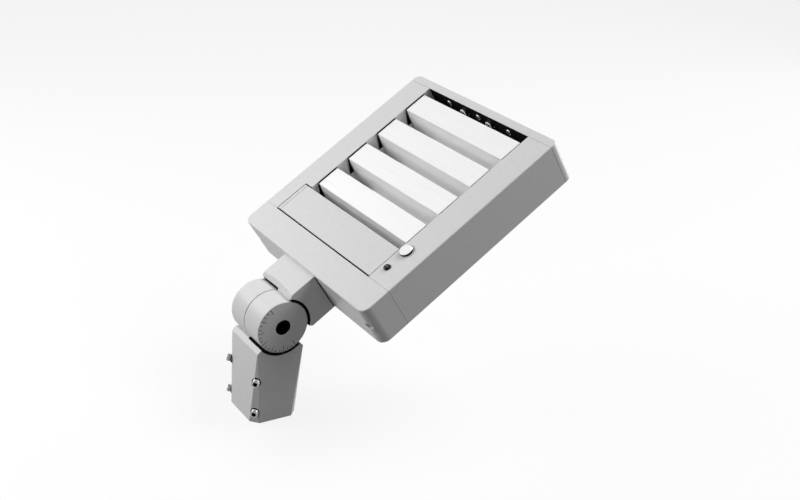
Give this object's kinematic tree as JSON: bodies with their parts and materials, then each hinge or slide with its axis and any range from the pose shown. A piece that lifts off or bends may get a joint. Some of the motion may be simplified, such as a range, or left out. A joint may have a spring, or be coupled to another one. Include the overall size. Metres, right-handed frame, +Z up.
{
  "type": "led area light",
  "caption": "Flat LED area light with slotted light bars between side rails, on a knuckle arm and square slip fitter for a pole tenon.",
  "frame": {"origin": "centre of the sleeve mouth of the slip fitter, on the bore axis", "axes": "+Z up along the sleeve axis, +Y the way the lamp head points, +X along the knuckle axis"},
  "size_m": [0.306, 0.3802, 0.393],
  "materials": {
    "silver_paint": "satin",
    "bar_aluminium": "brushed",
    "plain_aluminium": "satin",
    "bright_steel": "satin",
    "black_steel": "satin",
    "polished_metal": "polished",
    "gasket_rubber": "matte",
    "driver_case": "satin",
    "pale_plastic": "matte",
    "dark_plastic": "matte",
    "board_white": "matte",
    "clear_lens": "gloss"
  },
  "bodies": {
    "fitter": {"slip_fitter": "silver_paint", "fitter_set_screws": "bright_steel", "pivot_bolt": "black_steel", "pivot_washer": "bright_steel", "pivot_nut": "bright_steel"},
    "head": {"knuckle_arm": "silver_paint", "near_end_cap": "silver_paint", "far_end_cap": "silver_paint", "side_rail_left": "silver_paint", "side_rail_right": "silver_paint", "driver_cover": "silver_paint", "driver_tray": "plain_aluminium", "rail_backing_plate": "plain_aluminium", "arm_gasket": "gasket_rubber", "cover_gasket": "gasket_rubber", "arm_bolts": "bright_steel", "corner_screws": "bright_steel", "far_wall_bolts": "black_steel", "far_wall_washers": "bright_steel", "far_wall_screws": "bright_steel", "bar_screws": "bright_steel", "tray_screws": "bright_steel", "cover_screws": "bright_steel", "driver_screws": "bright_steel", "lens_screws": "bright_steel", "cross_screw": "bright_steel", "polished_bolt": "polished_metal", "polished_bolt_nut": "bright_steel", "led_driver": "driver_case", "terminal_block": "pale_plastic", "surge_protector": "dark_plastic", "light_bar_1": "bar_aluminium", "led_board_1": "board_white", "bar_lens_1": "clear_lens", "light_bar_2": "bar_aluminium", "led_board_2": "board_white", "bar_lens_2": "clear_lens", "light_bar_3": "bar_aluminium", "led_board_3": "board_white", "bar_lens_3": "clear_lens", "light_bar_4": "bar_aluminium", "led_board_4": "board_white", "bar_lens_4": "clear_lens"}
  },
  "joints": [
    {"name": "head_tilt", "type": "hinge", "parent": "fitter", "child": "head", "pos_m": [0, 0, 0.136], "axis": [1, 0, 0], "range_deg": [-35.5, 144.5]}
  ]
}
